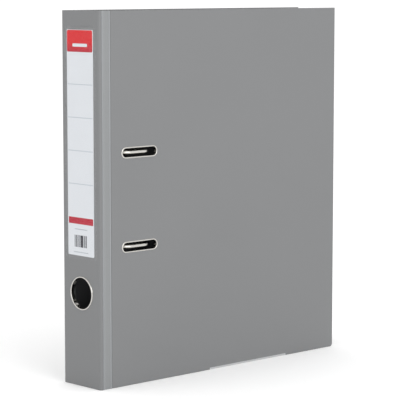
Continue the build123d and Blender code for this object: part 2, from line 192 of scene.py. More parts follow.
def pick(piece, kind, test):
    """Selects, in edit mode, the vertices, edges or faces that pass a test."""
    bpy.ops.mesh.select_mode(type=kind)
    bpy.ops.mesh.select_all(action="DESELECT")
    mesh = bmesh.from_edit_mesh(piece.data)
    mesh.normal_update()
    for part in {"VERT": mesh.verts, "EDGE": mesh.edges, "FACE": mesh.faces}[kind]:
        if test(part):
            part.select_set(True)
    mesh.select_flush_mode()
    bmesh.update_edit_mesh(piece.data)


def along(edge, axis):
    """True for an edge that runs along an axis."""
    return abs((edge.verts[1].co - edge.verts[0].co).normalized().dot(axis)) > 0.999


def near(value, target, reach=0.02 * MM):
    """True if two lengths are the same within a small reach."""
    return abs(value - target) < reach


def lies(edge, axis, target):
    """True for an edge that lies in a plane across an axis."""
    return all(near(getattr(vert.co, axis), target) for vert in edge.verts)


def round_edges(piece, test, radius, segments=3):
    """Rounds the edges of a piece that pass a test."""
    to_edit(piece)
    pick(piece, "EDGE", test)
    bpy.ops.mesh.bevel(offset=radius, segments=segments, profile=0.5, affect="EDGES")
    to_object()
    return piece


def cut(piece, *cutters):
    """Cuts other shapes out of a piece and removes them."""
    for cutter in cutters:
        only(piece)
        step = piece.modifiers.new("cut", "BOOLEAN")
        step.operation = "DIFFERENCE"
        step.solver = "EXACT"
        step.object = cutter
        bpy.ops.object.modifier_apply(modifier=step.name)
        bpy.data.objects.remove(cutter)
    to_edit(piece)
    weld()
    bpy.ops.mesh.dissolve_degenerate(threshold=WELD)
    select_whole()
    bpy.ops.mesh.fill_holes(sides=4)
    to_object()
    return piece


def joined(name, pieces):
    """Joins several shapes into one piece."""
    only(pieces[0])
    for piece in pieces[1:]:
        piece.select_set(True)
    bpy.ops.object.join()
    pieces[0].name = name
    return pieces[0]


def outline(name, points):
    """A line of vertices through points, drawn by extruding one vertex."""
    bpy.ops.mesh.primitive_plane_add(size=MM, location=(0, 0, 0))
    piece = bpy.context.object
    piece.name = name
    piece.data.name = name
    to_edit(piece)
    bpy.ops.mesh.select_mode(type="VERT")
    select_whole()
    bpy.ops.mesh.merge(type="CENTER")
    bpy.ops.transform.translate(value=points[0])
    for before, after in zip(points, points[1:]):
        bpy.ops.mesh.extrude_vertices_move(TRANSFORM_OT_translate={"value": after - before})
    to_object()
    return piece


def turned(name, profile, centre, axis, steps=64, stretch=0.0):
    """A piece turned round an axis from (radius, place along it) pairs, in millimetres.

    A closed profile gives a ring, and one that starts and ends on the axis gives a pin.
    A stretch pulls the two halves apart along X, which makes a ring slot-shaped.
    """
    side = Z_AXIS if abs(axis.x) > 0.5 else X_AXIS
    side = Matrix.Rotation(math.pi / steps, 3, axis) @ side
    points = [centre + side * (radius * MM) + axis * (place * MM) for radius, place in profile]
    piece = outline(name, points)
    to_edit(piece)
    select_whole()
    bpy.ops.mesh.spin(steps=steps, angle=2 * math.pi, center=centre, axis=axis)
    weld()
    bpy.ops.mesh.normals_make_consistent(inside=False)
    if stretch:
        for sign in (1, -1):
            pick(piece, "VERT", lambda vert: sign * (vert.co.x - centre.x) > 0)
            bpy.ops.transform.translate(value=(sign * stretch / 2, 0, 0))
    to_object()
    return piece


def slot_cutter(centre, length, width, depth):
    """A slot-shaped cutter through the front cover."""
    radius = width / 2 / MM
    half = depth / 2 / MM
    profile = [(0, -half), (radius, -half), (radius, half), (0, half)]
    return turned("cutter", profile, centre, Y_AXIS, 48, length - width)


def finished(piece, body, material, nodes=(), smooth=35):
    """Gives a piece its shading, finish and body, and the frame's pieces that it stands for."""
    only(piece)
    bpy.ops.object.shade_smooth_by_angle(angle=math.radians(smooth))
    step = piece.modifiers.new("flat_faces", "WEIGHTED_NORMAL")
    step.keep_sharp = True
    bpy.ops.object.modifier_apply(modifier=step.name)
    piece.data.materials.clear()
    piece.data.materials.append(material)
    if nodes:
        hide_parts(*nodes)
    if body:
        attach(piece, body)
    return piece


# ---- material steps ----


def linear(code):
    """Turns an sRGB hex colour to the linear values that a shader takes."""
    parts = [int(code[i : i + 2], 16) / 255 for i in (1, 3, 5)]
    return tuple(p / 12.92 if p <= 0.04045 else ((p + 0.055) / 1.055) ** 2.4 for p in parts)


def shade(colour, share=1.0):
    """A colour with its alpha, lighter or darker by a share."""
    return (*[min(1.0, part * share) for part in colour], 1.0)


def add(tree, kind, sockets=(), **settings):
    """Adds a node with its settings; a socket is given a value or the output that feeds it."""
    node = tree.nodes.new("ShaderNode" + kind)
    for name, value in settings.items():
        setattr(node, name, value)
    for name, value in dict(sockets).items():
        if isinstance(value, bpy.types.NodeSocket):
            tree.links.new(value, node.inputs[name])
        else:
            node.inputs[name].default_value = value
    return node


def new_material(name, **values):
    """An empty material with one surface shader; returns the material, its tree and that shader."""
    material = bpy.data.materials.new(name)
    material.use_nodes = True
    tree = material.node_tree
    tree.nodes.clear()
    sockets = {key.replace("_", " ").title().replace("Ior", "IOR"): value for key, value in values.items()}
    surface = add(tree, "BsdfPrincipled", sockets)
    add(tree, "OutputMaterial", {"Surface": surface.outputs[0]})
    return material, tree, surface


def object_place(tree, stretch=(1, 1, 1)):
    """The piece's own coordinates in metres, scaled along an axis where a pattern runs."""
    place = add(tree, "TexCoord").outputs["Object"]
    return add(tree, "Mapping", {"Vector": place, "Scale": stretch}).outputs[0]


def blend(tree, share, first, second):
    """The first colour where a share is 0 and the second where it is 1."""
    return add(tree, "Mix", {0: share, 6: first, 7: second}, data_type="RGBA").outputs[2]


def noise(tree, place, size, detail=2.0):
    """A noise pattern from 0 to 1 in patches of a size in metres."""
    return add(tree, "TexNoise", {"Vector": place, "Scale": 1 / size, "Detail": detail}).outputs[0]


def mottled(tree, place, size, colours, detail=3.0):
    """A soft mix of two colours in patches of a size in metres."""
    return blend(tree, noise(tree, place, size, detail), *colours)


def rough_between(tree, value, low, high):
    """Turns a pattern from 0 to 1 into a roughness between two values."""
    return add(tree, "MapRange", {"Value": value, "To Min": low, "To Max": high}).outputs[0]


def raised(tree, height, depth, strength):
    """A bump of a depth in metres from a pattern."""
    return add(tree, "Bump", {"Height": height, "Distance": depth, "Strength": strength}).outputs[0]


def feed(tree, surface, colour, normal, roughness=None):
    """Links the patterns of a finish to its surface shader."""
    tree.links.new(colour, surface.inputs["Base Color"])
    tree.links.new(normal, surface.inputs["Normal"])
    if roughness is not None:
        tree.links.new(roughness, surface.inputs["Roughness"])


def embossed_foil(name, colour, crease_x=None):
    """Polypropylene foil, calendered with a fine grain: satin, cool grey, faintly clouded.

    Where a crease lies at crease_x, a painted highlight lightens the foil for 3 mm beside it.
    """
    material, tree, surface = new_material(name, roughness=0.5, ior=1.49)
    place = object_place(tree)
    clouds_and_painted_highlight = mottled(tree, place, 90 * MM, (shade(colour, 0.97), shade(colour, 1.03)), 2)
    if crease_x is not None:
        # painted highlight: the foil is lightened by 14% at the crease, fading out over 3 mm
        across = add(tree, "SeparateXYZ", {0: place}).outputs[0]
        span = {"From Min": crease_x, "From Max": crease_x + 3 * MM, "To Min": 1.14, "To Max": 1.0}
        hinge_highlight_paint = add(tree, "MapRange", {"Value": across, **span}).outputs[0]
        clouds_and_painted_highlight = add(tree, "VectorMath", {0: clouds_and_painted_highlight, "Scale": hinge_highlight_paint}, operation="SCALE").outputs[0]
    # the real grain is 0.4 mm wide, and is drawn at 0.9 mm so that it shows
    grain = add(tree, "TexVoronoi", {"Vector": place, "Scale": 1 / (0.9 * MM)}, feature="SMOOTH_F1")
    fine = noise(tree, place, 0.7 * MM)
    speckle = rough_between(tree, fine, 0.95, 1.05)
    tinted = add(tree, "VectorMath", {0: clouds_and_painted_highlight, "Scale": speckle}, operation="SCALE").outputs[0]
    bump = raised(tree, grain.outputs[0], 0.05 * MM, 0.35)
    feed(tree, surface, tinted, bump, rough_between(tree, fine, 0.42, 0.58))
    return material


def grey_board(colour):
    """Solid greyboard, cut raw: matt, with flecks of recycled fibre."""
    material, tree, surface = new_material("greyboard", roughness=0.9, ior=1.5)
    place = object_place(tree)
    flecks = mottled(tree, place, 1.5 * MM, (shade(colour, 0.85), shade(colour, 1.12)), 5)
    feed(tree, surface, flecks, raised(tree, noise(tree, place, 0.5 * MM, 3), 0.08 * MM, 0.4))
    return material


def lining_paper(colour):
    """Uncoated lining paper, glued flat: soft, matt, with faint fibre clouds; its grey is darkened as
    painted shade between the covers.
    """
    material, tree, surface = new_material("grey_lining_paper", roughness=0.75, ior=1.5)
    clouds = mottled(tree, object_place(tree), 3 * MM, (shade(colour, 0.96), shade(colour, 1.03)), 6)
    fibre = noise(tree, object_place(tree, (1, 1, 0.3)), 0.6 * MM)
    feed(tree, surface, clouds, raised(tree, fibre, 0.03 * MM, 0.3))
    return material


def nickel_plate(colour):
    """Bright nickel plate on steel: mirror-like, warm, with a faint barrel-polish haze."""
    material, tree, surface = new_material("nickel_plated_steel", metallic=1.0, roughness=0.2)
    place = object_place(tree)
    tone = mottled(tree, place, 6 * MM, (shade(colour, 0.94), shade(colour, 1.04)), 2)
    haze = noise(tree, place, 2 * MM, 4)
    feed(tree, surface, tone, raised(tree, haze, 0.01 * MM, 0.2), rough_between(tree, haze, 0.12, 0.28))
    return material


def drawn_steel(colour):
    """Drawn steel strip: grey, with fine lines along its length."""
    material, tree, surface = new_material("drawn_steel_strip", metallic=1.0, roughness=0.35)
    # draw lines are 0.2 mm apart, and are drawn at 0.5 mm so that they show
    lines = noise(tree, object_place(tree, (0.02, 1, 1)), 0.5 * MM, 3)
    tone = blend(tree, lines, shade(colour, 0.88), shade(colour, 1.08))
    feed(tree, surface, tone, raised(tree, lines, 0.01 * MM, 0.3), rough_between(tree, lines, 0.25, 0.45))
    return material


def clear_film():
    """Clear polypropylene film, 0.15 mm: nearly invisible, with a soft gloss."""
    material, tree, surface = new_material("clear_polypropylene_film", roughness=0.2, ior=1.49, alpha=0.012)
    waves = noise(tree, object_place(tree), 25 * MM)
    tone = blend(tree, waves, (0.8, 0.82, 0.85, 1), (0.9, 0.92, 0.95, 1))
    feed(tree, surface, tone, raised(tree, waves, 0.3 * MM, 0.3))
    return material


def black_polystyrene(colour):
    """Moulded black polystyrene: satin, with fine spark-erosion texture."""
    material, tree, surface = new_material("black_polystyrene", roughness=0.4, ior=1.59)
    place = object_place(tree)
    tone = mottled(tree, place, 8 * MM, (shade(colour, 0.9), shade(colour, 1.2)), 3)
    spark = noise(tree, place, 0.4 * MM, 3)
    feed(tree, surface, tone, raised(tree, spark, 0.02 * MM, 0.5), rough_between(tree, spark, 0.34, 0.5))
    return material


def inside(tree, value, low, high):
    """1 where a coordinate in metres lies between two values in millimetres, otherwise 0."""
    centre, reach = (low + high) / 2 * MM, (high - low) / 2 * MM
    return add(tree, "Math", {0: value, 1: centre, 2: reach}, operation="COMPARE").outputs[0]


def both(tree, first, second):
    """1 where both masks are 1."""
    return add(tree, "Math", {0: first, 1: second}, operation="MULTIPLY").outputs[0]


def rounded_patch(tree, across, up, centre, half, radius):
    """1 inside a rounded rectangle, in millimetres."""
    offsets = []
    for value, mid, reach in ((across, centre[0], half[0]), (up, centre[1], half[1])):
        away = add(tree, "Math", {0: value, 1: mid * MM}, operation="SUBTRACT")
        away = add(tree, "Math", {0: away.outputs[0]}, operation="ABSOLUTE")
        away = add(tree, "Math", {0: away.outputs[0], 1: (reach - radius) * MM}, operation="SUBTRACT")
        offsets.append(add(tree, "Math", {0: away.outputs[0], 1: 0.0}, operation="MAXIMUM").outputs[0])
    corner = add(tree, "CombineXYZ", {0: offsets[0], 1: offsets[1]})
    length = add(tree, "VectorMath", {0: corner.outputs[0]}, operation="LENGTH")
    return add(tree, "Math", {0: length.outputs[1], 1: radius * MM}, operation="LESS_THAN").outputs[0]


def printed_bar(tree, across, up, width, height):
    """1 inside a plain printed bar, given by its edges across and up in millimetres."""
    return both(tree, inside(tree, up, *height), inside(tree, across, *width))


def uneven_bars(tree, across, up):
    """1 on bars of uneven width that encode nothing, in steps of 0.5 mm."""
    steps = add(tree, "Math", {0: across, 1: 1 / (0.5 * MM)}, operation="MULTIPLY")
    steps = add(tree, "Math", {0: steps.outputs[0]}, operation="FLOOR")
    chance = add(tree, "TexWhiteNoise", {"W": steps.outputs[0]}, noise_dimensions="1D")
    dark = add(tree, "Math", {0: chance.outputs[0], 1: 0.6}, operation="LESS_THAN").outputs[0]
    return both(tree, dark, printed_bar(tree, across, up, (-7.8, 8.5), (119.2, 129.4)))


def label_paper(colours):
    """Coated label paper, printed: white, with a heading block, ruled lines, a band and plain bars."""
    material, tree, surface = new_material(
        "coated_label_paper", roughness=0.45, ior=1.5, specular_ior_level=0.3
    )
    place = object_place(tree)
    split = add(tree, "SeparateXYZ", {0: place})
    across, up = split.outputs[1], split.outputs[2]
    white, grey = colours.label_white, shade(colours.label_grey)
    paper = mottled(tree, place, 12 * MM, (shade(white, 0.98), shade(white, 1.02)), 3)
    heading = rounded_patch(tree, across, up, (0.2, 292.6), (16.5, 9.1), 1.5)
    fade = add(tree, "MapRange", {"Value": up, "From Min": 0.283, "From Max": 0.292}).outputs[0]
    red = blend(tree, fade, shade(colours.label_red_low), shade(colours.label_red))
    paper = blend(tree, heading, paper, red)
    # a plain bar stands where a maker would print a name
    paper = blend(tree, rounded_patch(tree, across, up, (0, 289.2), (9.5, 1.3), 0.6), paper, shade(white))
    for height in (256.5, 228.7, 200.8, 172.8):
        rule = printed_bar(tree, across, up, (-16, 16), (height - 0.35, height + 0.35))
        paper = blend(tree, rule, paper, grey)
    band = printed_bar(tree, across, up, (-16, 16), (138.8, 144.4))
    paper = blend(tree, band, paper, shade(colours.label_red_low, 1.05))
    paper = blend(tree, uneven_bars(tree, across, up), paper, shade(colours.label_ink))
    # two plain lines stand for the small print
    for width, height in (((-9.5, 9.5), (114.6, 115.2)), ((-8, 8), (134.1, 134.8))):
        line = printed_bar(tree, across, up, width, height)
        paper = blend(tree, line, paper, shade(colours.label_grey, 0.8))
    fibre = noise(tree, place, 1.2 * MM, 3)
    feed(tree, surface, paper, raised(tree, fibre, 0.02 * MM, 0.2), rough_between(tree, fibre, 0.4, 0.52))
    return material


def floor_paint():
    """Plain matt studio floor: pale and even."""
    material, tree, surface = new_material("pale_studio_floor", roughness=0.9)
    tone = mottled(tree, object_place(tree), 0.6, (shade(linear("#fdfdfd")), shade(linear("#ffffff"))), 1)
    tree.links.new(tone, surface.inputs["Base Color"])
    return material


# ---- settings a user would change ----


def colour_setting(name, code, description):
    """A colour shown as a swatch in the panel."""
    return bpy.props.FloatVectorProperty(
        name=name, description=description, subtype="COLOR", size=3, min=0, max=1, default=linear(code)
    )


def length_setting(name, millimetres, description):
    """A length shown in the scene's units."""
    return bpy.props.FloatProperty(
        name=name, description=description, default=millimetres * MM, min=0, unit="LENGTH", precision=5
    )


class FileColours(bpy.types.PropertyGroup):
    """Colours of the file's finishes."""

    foil: colour_setting("Foil", "#727374", "Cover and spine foil")
    # the hinge foil is painted paler than the cover foil: a painted highlight on the hinge band
    hinge_foil: colour_setting("Hinge foil", "#7f8182", "Foil of the hinge strips")
    # the crease foil is painted paler than the hinge foil: a painted highlight on the creases' ridges
    crease_highlight_colour: colour_setting("Crease foil", "#8a8c8e", "Foil whitened by folding")
    board: colour_setting("Board", "#a19b91", "Raw greyboard")
    # the lining colour is the paper's grey, darkened as painted shade between the covers
    lining: colour_setting("Lining", "#4a4b4e", "Paper inside the covers")
    nickel: colour_setting("Nickel", "#c9c7c2", "Plated steel of the fittings")
    steel: colour_setting("Steel", "#c9cacb", "Edge shoes")
    plastic: colour_setting("Plastic", "#1c1c1e", "Compressor bar")
    label_white: colour_setting("Label white", "#cacdd1", "Label paper")
    label_red: colour_setting("Label red", "#c4050f", "Heading block")
    label_red_low: colour_setting("Label red, low", "#a20d27", "Foot of the heading block, and the band")
    label_grey: colour_setting("Label grey", "#a9b0b8", "Ruled lines")
    label_ink: colour_setting("Label ink", "#3a3a40", "Plain bars")


class FileSizes(bpy.types.PropertyGroup):
    """Sizes of details that the frame leaves to the finish."""

    edge_round: length_setting("Edge round", 0.35, "Rounding of the foil over the board's edges")
    corner_round: length_setting("Corner round", 3.0, "Bottom corner of each cover")
    spine_round: length_setting("Spine round", 2.2, "Rounding of the spine's long corners")
    crease_radius: length_setting("Crease radius", 0.8, "Rounded crease beside the hinge strip")
    wire_radius: length_setting("Wire radius", 1.5, "Round wire of the arches")
    label_corner: length_setting("Label corner", 1.0, "Rounding of the label's corners")


# ---- covers and spine ----


def side_sign(side):
    """-1 for the front cover and 1 for the rear."""
    return -1 if side == "front" else 1


def make_cover(side, sizes, foil):
    """One foil-covered board, with its turn-in, rounded corner, slots and room for its shoe."""
    nodes = (side + "_cover_foil", side + "_cover_board")
    low, high = low_high(*nodes)
    sign = side_sign(side)
    outer = low.y if sign < 0 else high.y
    inner = high.y if sign < 0 else low.y
    case = block(side + "_cover_case", low, high)
    free_corner = lambda edge: along(edge, Y_AXIS) and lies(edge, "x", high.x) and lies(edge, "z", low.z)
    round_edges(case, free_corner, sizes.corner_round, 8)
    round_edges(case, lambda edge: lies(edge, "y", outer) or lies(edge, "y", inner), sizes.edge_round, 3)
    lining_low, lining_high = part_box(side + "_cover_lining")
    recess_low = Vector((lining_low.x - 5 * MM, lining_low.y, lining_low.z))
    recess_high = lining_high.copy()
    if sign < 0:
        recess_high.y += MM
    else:
        recess_low.y -= MM
    cutters = [block("cutter", recess_low, recess_high)]
    shoe_low, shoe_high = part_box(side + "_edge_shoe")
    grow = Vector((0, MM, 0))
    cutters.append(block("cutter", shoe_low - grow - Z_AXIS * MM, shoe_high + grow))
    if sign < 0:
        for height in ("lower", "upper"):
            cutters.append(eyelet_hole(height))
    cut(case, *cutters)
    return finished(case, side + "_cover", foil, nodes)


def eyelet_hole(height):
    """The cutter for one eyelet's tube, a wall wider than the slot itself."""
    low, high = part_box(height + "_slot_eyelet")
    centre = (low + high) / 2
    margin = (EYELET_RIM - EYELET_WALL) * MM
    size = high - low
    return slot_cutter(centre, size.x - 2 * margin, size.z - 2 * margin, 10 * MM)


def make_spine(sizes, foil):
    """The foil-covered spine: a shallow channel whose long corners are round, with the ring's hole."""
    nodes = ("spine_foil", "spine_board")
    low, high = low_high(*nodes)
    case = block("spine_case", low, high)
    back = lambda edge: along(edge, Z_AXIS) and lies(edge, "x", low.x)
    round_edges(case, back, sizes.spine_round, 8)
    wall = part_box("spine_lining")[0].x - low.x
    hollow_low = low + Vector((wall, wall, -MM))
    hollow_high = high + Vector((MM, -wall, MM))
    ring_low, ring_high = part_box("finger_ring")
    centre = (ring_low + ring_high) / 2
    radius = (ring_high.z - ring_low.z) / 2 / MM - RING_RIM + RING_WALL
    hole = turned("cutter", [(0, -6), (radius, -6), (radius, 6), (0, 6)], centre, X_AXIS, 96)
    cut(case, block("cutter", hollow_low, hollow_high), hole)
    end = lambda edge: lies(edge, "z", low.z) or lies(edge, "z", high.z)
    round_edges(case, lambda edge: end(edge) and middle(edge).x < low.x + wall / 2, sizes.edge_round, 2)
    return finished(case, "spine", foil, nodes)


def make_hinge_strip(side, foil):
    """The flexible foil strip between two creases, a little below the covers' faces."""
    low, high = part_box(side + "_hinge_foil")
    sign = side_sign(side)
    axes = crease_axes(side)
    board_low, board_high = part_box(side + "_hinge_board")
    inner = board_low.y if sign < 0 else board_high.y
    outer = inner + sign * STRIP_FOIL * MM
    strip_low = Vector((axes[0].x + STRIP_GAP * MM, min(inner, outer), low.z))
    strip_high = Vector((axes[1].x - STRIP_GAP * MM, max(inner, outer), high.z))
    strip = block(side + "_hinge_strip", strip_low, strip_high)
    to_edit(strip)
    pick(strip, "FACE", lambda face: sign * face.normal.y > 0.9)
    # the strip is pressed down a little between its creases
    bpy.ops.mesh.inset(thickness=STRIP_EDGE * MM)
    bpy.ops.transform.translate(value=(0, -sign * STRIP_DIP * MM, 0))
    to_object()
    return finished(strip, side + "_hinge", foil, (side + "_hinge_foil",))


def crease_axes(side):
    """The two fold lines of a side's hinge strip, from the spine outwards."""
    corner = Vector(JOINTS["rear_corner_fold"]["pos_m"])
    strip = Vector(JOINTS["rear_strip_fold"]["pos_m"])
    sign = side_sign(side)
    return [Vector((point.x, sign * abs(point.y), 0)) for point in (corner, strip)]


def make_crease(side, place, sizes, foil):
    """A rounded crease with a thin lip on each side."""
    axis = crease_axes(side)[place]
    sign = side_sign(side)
    low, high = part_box(side + "_hinge_foil")
    name = side + ("_corner_crease", "_strip_crease")[place]
    centre = Vector((axis.x, axis.y, (low.z + high.z) / 2))
    bpy.ops.mesh.primitive_cylinder_add(
        vertices=24, radius=sizes.crease_radius, depth=high.z - low.z, location=centre
    )
    crease = settle(bpy.context.object, name)
    lip_place = sign * LIP_PLACE * MM
    to_edit(crease)
    for way in (-1, 1):
        at_lip = lambda face: near(middle(face).y - axis.y, lip_place, 0.08 * MM)
        pick(crease, "FACE", lambda face: way * face.normal.x > 0.5 and at_lip(face))
        bpy.ops.mesh.extrude_region_move(TRANSFORM_OT_translate={"value": (way * LIP_REACH * MM, 0, 0)})
    to_object()
    finished(crease, None, foil, smooth=50)
    first, second = blend_bodies(side, place)
    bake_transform(crease)
    return crease


def blend_bodies(side, place):
    """The bodies on each side of a crease, from the spine outwards."""
    chain = ("spine", side + "_hinge", side + "_cover")
    return chain[place], chain[place + 1]


# ---- fittings ----


def make_finger_ring(nickel):
    """The finger ring: a rolled flange outside and a tube through the spine."""
    low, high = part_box("finger_ring")
    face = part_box("spine_foil")[0].x
    depth = (high.x - face) / MM
    outer = (high.z - low.z) / 2 / MM
    bore = outer - RING_RIM
    centre = Vector((face, 0, (low.z + high.z) / 2))
    profile = [
        (bore, depth), (bore, -0.1), (bore + 0.1, -0.45), (bore + 0.3, -0.7), (bore + 0.6, -0.8),
        (outer - 0.35, -0.7), (outer - 0.1, -0.4), (outer, 0.0), (bore + RING_WALL, 0.0),
        (bore + RING_WALL, depth), (bore, depth),
    ]
    ring = turned("finger_ring_rolled", profile, centre, X_AXIS, 96)
    return finished(ring, "spine", nickel, ("finger_ring",), 40)


def make_eyelet(height, nickel):
    """One slot eyelet: a domed rim outside and a tube through the cover."""
    node = height + "_slot_eyelet"
    low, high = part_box(node)
    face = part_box("front_cover_foil")[0].y
    size = high - low
    radius = size.z / 2 / MM
    bore = radius - EYELET_RIM
    depth = (high.y - face) / MM
    centre = Vector(((low.x + high.x) / 2, face, (low.z + high.z) / 2))
    profile = [
        (bore, depth), (bore, -0.05), (bore + 0.1, -0.3), (bore + 0.3, -0.46), (bore + 0.6, -0.5),
        (radius - 0.35, -0.43), (radius - 0.1, -0.25), (radius, 0.0), (bore + EYELET_WALL, 0.0),
        (bore + EYELET_WALL, depth), (bore, depth),
    ]
    eyelet = turned(node + "_rolled", profile, centre, Y_AXIS, 64, size.x - size.z)
    return finished(eyelet, "front_cover", nickel, (node,), 40)


def make_shoe(side, steel):
    """The steel shoe: a channel pinched on to the cover's bottom edge, with rounded bends."""
    node = side + "_edge_shoe"
    low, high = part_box(node)
    shoe = block(node + "_bent", low, high)
    round_edges(shoe, lambda edge: along(edge, X_AXIS) and lies(edge, "z", low.z), 0.5 * MM, 4)
    wall = SHOE_STEEL * MM
    hollow = block("cutter", low + Vector((-MM, wall, wall)), high + Vector((MM, -wall, MM)))
    cut(shoe, hollow)
    return finished(shoe, side + "_cover", steel, (node,))


def make_label(sizes, paper):
    """The printed label: a thin card with rounded corners."""
    low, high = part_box("spine_label")
    card = block("spine_label_card", low, high)
    round_edges(card, lambda edge: along(edge, X_AXIS), sizes.label_corner, 4)
    return finished(card, "spine", paper, ("spine_label",))


def make_pocket(film):
    """The clear pocket over the label, welded flat to the spine round its edge."""
    low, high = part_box("label_pocket")
    label_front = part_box("spine_label")[0].x
    weld_front, weld_back = high.x - 0.12 * MM, high.x - 0.02 * MM
    pocket = block("label_pocket_film", (weld_front, low.y, low.z), (weld_back, high.y, high.z))
    round_edges(pocket, lambda edge: along(edge, X_AXIS), 1.5 * MM, 4)
    to_edit(pocket)
    pick(pocket, "FACE", lambda face: face.normal.x < -0.9)
    bpy.ops.mesh.inset(thickness=POCKET_WELD * MM)
    bpy.ops.mesh.inset(thickness=POCKET_SLOPE * MM)
    bpy.ops.transform.translate(value=(label_front - 0.05 * MM - weld_front, 0, 0))
    pick(pocket, "FACE", lambda face: face.normal.x > 0.9)
    bpy.ops.mesh.inset(thickness=POCKET_BACK * MM)
    bpy.ops.transform.translate(value=(label_front - 0.01 * MM - weld_back, 0, 0))
    to_object()
    return finished(pocket, "spine", film, ("label_pocket",), 12)


# ---- arch mechanism ----


def joint_place(name):
    """A joint's axis, as a point at mid height."""
    return Vector(JOINTS[name]["pos_m"])


def crank_reach():
    """How far each of the crank's two arms stands from mid height."""
    low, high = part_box("lever")
    return (high.z - low.z) / 2 + CRANK_SIDE_GAP * MM


def filled_plate(name, points, low_z, thickness):
    """A flat plate with a closed outline in plan, from one height up by its thickness."""
    points = [Vector((x, y, low_z)) for x, y in points]
    plate = outline(name, points + points[:1])
    to_edit(plate)
    weld()
    bpy.ops.mesh.edge_face_add()
    bpy.ops.mesh.extrude_region_move(TRANSFORM_OT_translate={"value": (0, 0, thickness)})
    select_whole()
    bpy.ops.mesh.normals_make_consistent(inside=False)
    to_object()
    return plate


def hull_round(discs):
    """The outline round several discs, each given as x, y and radius in metres."""
    spots = []
    for x, y, radius in discs:
        for step in range(20):
            angle = step * math.pi / 10
            spots.append(Vector((x + radius * math.cos(angle), y + radius * math.sin(angle))))
    return [tuple(spots[i]) for i in geometry.convex_hull_2d(spots)]


def sheet_piece(name, discs, low_z, steel):
    """A flat piece of sheet steel round several discs, with its cut edges eased."""
    piece = filled_plate(name, hull_round(discs), low_z, steel)
    return round_edges(piece, lambda edge: not along(edge, Z_AXIS), 0.15 * MM, 1)


def wire_path(radius):
    """The corners of the bent wire, from the lower arch's tip to the upper arch's tip."""
    shaft, roller = joint_place("arch_swing"), joint_place("roller_spin")
    crank_y = roller.y + radius + CRANK_ROLLER_GAP * MM
    top_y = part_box("arch_wire")[0].y + radius
    shoulder_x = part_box("upper_slot_eyelet")[0].x + (EYELET_RIM + SLOT_SPINE_MARGIN) * MM
    halves = []
    for post, sign in (("lower_post", -1), ("upper_post", 1)):
        foot = box_middle(post)
        arm_z = shaft.z + sign * crank_reach()
        halves.append([
            Vector((foot.x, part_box(post)[0].y - ARCH_TIP_GAP * MM, foot.z)),
            Vector((foot.x, top_y, foot.z)),
            Vector((shoulder_x, top_y, foot.z)),
            Vector((shaft.x, shaft.y, foot.z)),
            Vector((shaft.x, shaft.y, arm_z)),
            Vector((roller.x, crank_y, arm_z)),
        ])
    return halves[0] + halves[1][::-1]


def make_arch_wire(sizes, nickel):
    """Both arches, the shaft and the crank, bent from one round wire with pointed tips."""
    radius = sizes.wire_radius
    points = wire_path(radius)
    wire = outline("arch_wire_bent", points)
    to_edit(wire)
    for index, bend in enumerate(WIRE_BENDS + WIRE_BENDS[::-1], start=1):
        before, corner, after = points[index - 1 : index + 2]
        setback = bend * MM * math.tan((corner - before).angle(after - corner) / 2)
        pick(wire, "VERT", lambda vert: (vert.co - corner).length < 0.01 * MM)
        bpy.ops.mesh.bevel(offset=setback, segments=10, profile=0.5, affect="VERTICES")
    to_object()
    only(wire)
    bpy.ops.object.convert(target="CURVE")
    wire = bpy.context.object
    wire.data.bevel_depth = radius
    wire.data.bevel_resolution = 6
    wire.data.use_fill_caps = True
    bpy.ops.object.convert(target="MESH")
    wire = bpy.context.object
    to_edit(wire)
    weld()
    bpy.ops.mesh.normals_make_consistent(inside=False)
    # the two end caps are the only faces with so many corners
    pick(wire, "FACE", lambda face: len(face.verts) > 6)
    bpy.ops.mesh.inset(thickness=0.9 * MM, depth=0.9 * MM)
    to_object()
    return finished(wire, "arches", nickel, ("arch_wire",), 50)


def make_posts(nickel):
    """The two fixed posts, each with a spigot, a soft top edge and a dimple for the arch's tip."""
    for node in ("lower_post", "upper_post"):
        low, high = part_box(node)
        foot = Vector(((low.x + high.x) / 2, high.y, (low.z + high.z) / 2))
        length = (high.y - low.y) / MM
        radius = (high.x - low.x) / 2 / MM
        profile = [
            (0, 0), (1.5, 0), (1.5, SPIGOT_LENGTH), (radius, SPIGOT_LENGTH), (radius, length - 0.35),
            (radius - 0.1, length - 0.1), (2.05, length), (1.3, length - 0.7), (0.6, length - 1.4),
            (0, length - 1.4),
        ]
        post = turned(node + "_turned", profile, foot, -Y_AXIS, 32)
        finished(post, "rear_cover", nickel, (node,), 40)


def make_base(nickel):
    """The steel base: a plate with round corners, four ears for the shaft and two lugs for the lever."""
    low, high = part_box("base_plate")
    steel = BASE_STEEL * MM
    floor = high.y - steel
    plate = block("base_plate_pressed", (low.x, floor, low.z), high)
    round_edges(plate, lambda edge: along(edge, Y_AXIS), CORNER_ROUND * MM, 6)
    round_edges(plate, lambda edge: lies(edge, "y", floor), 0.3 * MM, 2)
    shaft, pivot = joint_place("arch_swing"), joint_place("lever_lift")
    half_spacing = box_middle("upper_post").z - shaft.z
    parts = [plate]
    places = (
        (shaft, SHAFT_EYE * MM, crank_reach() + EAR_FROM_CRANK * MM),
        (shaft, SHAFT_EYE * MM, half_spacing - EAR_FROM_POST * MM),
        (pivot, PIVOT_EYE * MM, LUG_FROM_MIDDLE * MM),
    )
    for centre, radius, offset in places:
        discs = [(centre.x, centre.y, radius)]
        for sign in (-1, 1):
            discs.append((centre.x + sign * (radius - 0.2 * MM), floor + 0.4 * MM, 0.2 * MM))
        for start in (offset, -offset - steel):
            parts.append(sheet_piece("ear", discs, shaft.z + start, steel))
    finished(joined("base_plate_pressed", parts), "rear_cover", nickel, ("base_plate",))


